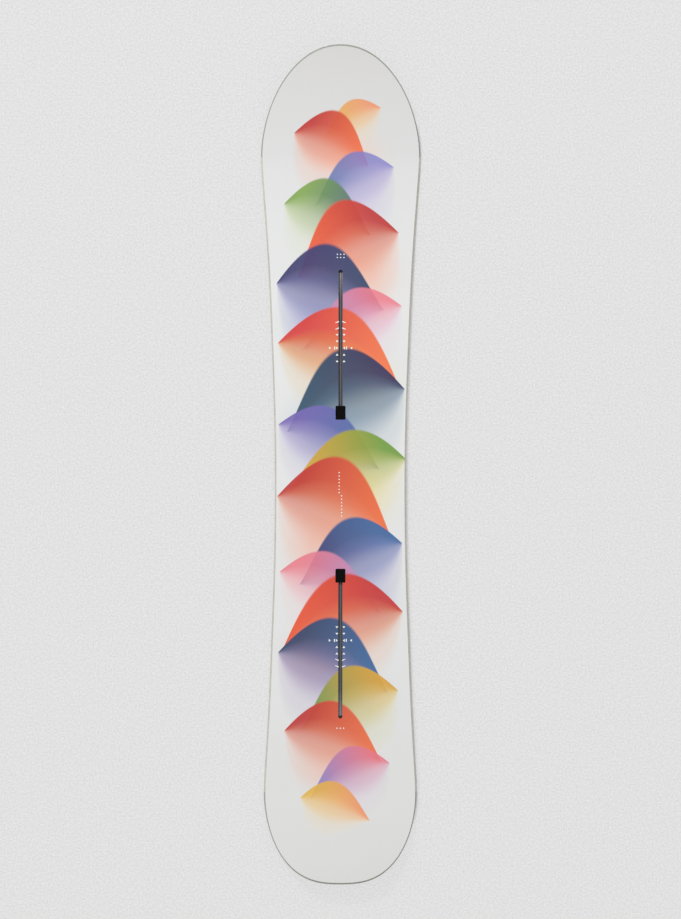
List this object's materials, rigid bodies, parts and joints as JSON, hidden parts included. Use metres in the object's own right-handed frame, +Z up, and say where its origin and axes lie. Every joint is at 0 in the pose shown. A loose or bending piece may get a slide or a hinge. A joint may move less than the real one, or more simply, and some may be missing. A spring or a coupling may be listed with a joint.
{
  "type": "snowboard",
  "caption": "Directional snowboard with steel edges, cambered layered body, upturned nose and tail, and long binding slots with sliding inserts under lift-out plugs.",
  "frame": {"origin": "on the floor under the middle of the board's length, on its centre line", "axes": "+Y from tail to nose along the length, +X across to the right seen from above, +Z up, out of the topsheet"},
  "size_m": [0.306, 1.6, 0.065],
  "materials": {
    "base": "sintered polyethylene, stone ground",
    "edge_steel": "ground carbon steel",
    "damping_rubber": "thin rubber mat",
    "glass_laminate": "glass fibre in epoxy",
    "core_poplar": "planed poplar",
    "core_beech": "planed beech",
    "tip_filler": "moulded plastic, satin",
    "sidewall": "milled ABS",
    "topsheet": "clear lacquer over an airbrushed print",
    "channel_plastic": "moulded, glass filled",
    "channel_rail": "dark anodised",
    "plug": "moulded, satin",
    "insert_steel": "zinc plated"
  },
  "bodies": {
    "board": {"base_running": "base", "base_nose": "base", "base_tail": "base", "steel_edge_left": "edge_steel", "steel_edge_right": "edge_steel", "steel_edge_nose": "edge_steel", "steel_edge_tail": "edge_steel", "damping_mat_running": "damping_rubber", "damping_mat_nose": "damping_rubber", "damping_mat_tail": "damping_rubber", "lower_laminate": "glass_laminate", "core_middle_tail": "core_beech", "core_middle_waist": "core_beech", "core_middle_nose": "core_beech", "core_stringer_left_1": "core_poplar", "core_stringer_left_2": "core_beech", "core_stringer_left_3": "core_poplar", "core_stringer_left_4": "core_beech", "core_stringer_right_1": "core_poplar", "core_stringer_right_2": "core_beech", "core_stringer_right_3": "core_poplar", "core_stringer_right_4": "core_beech", "nose_spacer": "tip_filler", "tail_spacer": "tip_filler", "sidewall_left": "sidewall", "sidewall_right": "sidewall", "upper_laminate": "glass_laminate", "topsheet": "topsheet", "front_channel_floor": "channel_plastic", "front_channel_outer_stop": "channel_plastic", "front_channel_inner_stop": "channel_plastic", "front_rail_left": "channel_rail", "front_rail_right": "channel_rail", "rear_channel_floor": "channel_plastic", "rear_channel_outer_stop": "channel_plastic", "rear_channel_inner_stop": "channel_plastic", "rear_rail_left": "channel_rail", "rear_rail_right": "channel_rail"},
    "front_plug": {"front_plug": "plug"},
    "front_outer_insert": {"front_insert_outer": "insert_steel"},
    "front_inner_insert": {"front_insert_inner": "insert_steel"},
    "rear_plug": {"rear_plug": "plug"},
    "rear_outer_insert": {"rear_insert_outer": "insert_steel"},
    "rear_inner_insert": {"rear_insert_inner": "insert_steel"}
  },
  "joints": [
    {"name": "front_plug_lift", "type": "slide", "parent": "board", "child": "front_plug", "axis": [0, 0.006, 1], "range_m": [0, 0.012]},
    {"name": "rear_plug_lift", "type": "slide", "parent": "board", "child": "rear_plug", "axis": [0, -0.0089, 1], "range_m": [0, 0.012]},
    {"name": "front_outer_insert_slide", "type": "slide", "parent": "board", "child": "front_outer_insert", "axis": [0, 1, -0.0098], "range_m": [0, 0.2583]},
    {"name": "front_inner_insert_slide", "type": "slide", "parent": "board", "child": "front_inner_insert", "axis": [0, 1, -0.0093], "range_m": [0, 0.20664]},
    {"name": "rear_outer_insert_slide", "type": "slide", "parent": "board", "child": "rear_outer_insert", "axis": [0, -0.9999, -0.0103], "range_m": [0, 0.2583]},
    {"name": "rear_inner_insert_slide", "type": "slide", "parent": "board", "child": "rear_inner_insert", "axis": [0, -0.9999, -0.0104], "range_m": [0, 0.20664]}
  ],
  "couplings": [
    {"joint": "front_inner_insert_slide", "follows": "front_outer_insert_slide", "ratio": 0.8},
    {"joint": "rear_inner_insert_slide", "follows": "rear_outer_insert_slide", "ratio": 0.8}
  ]
}
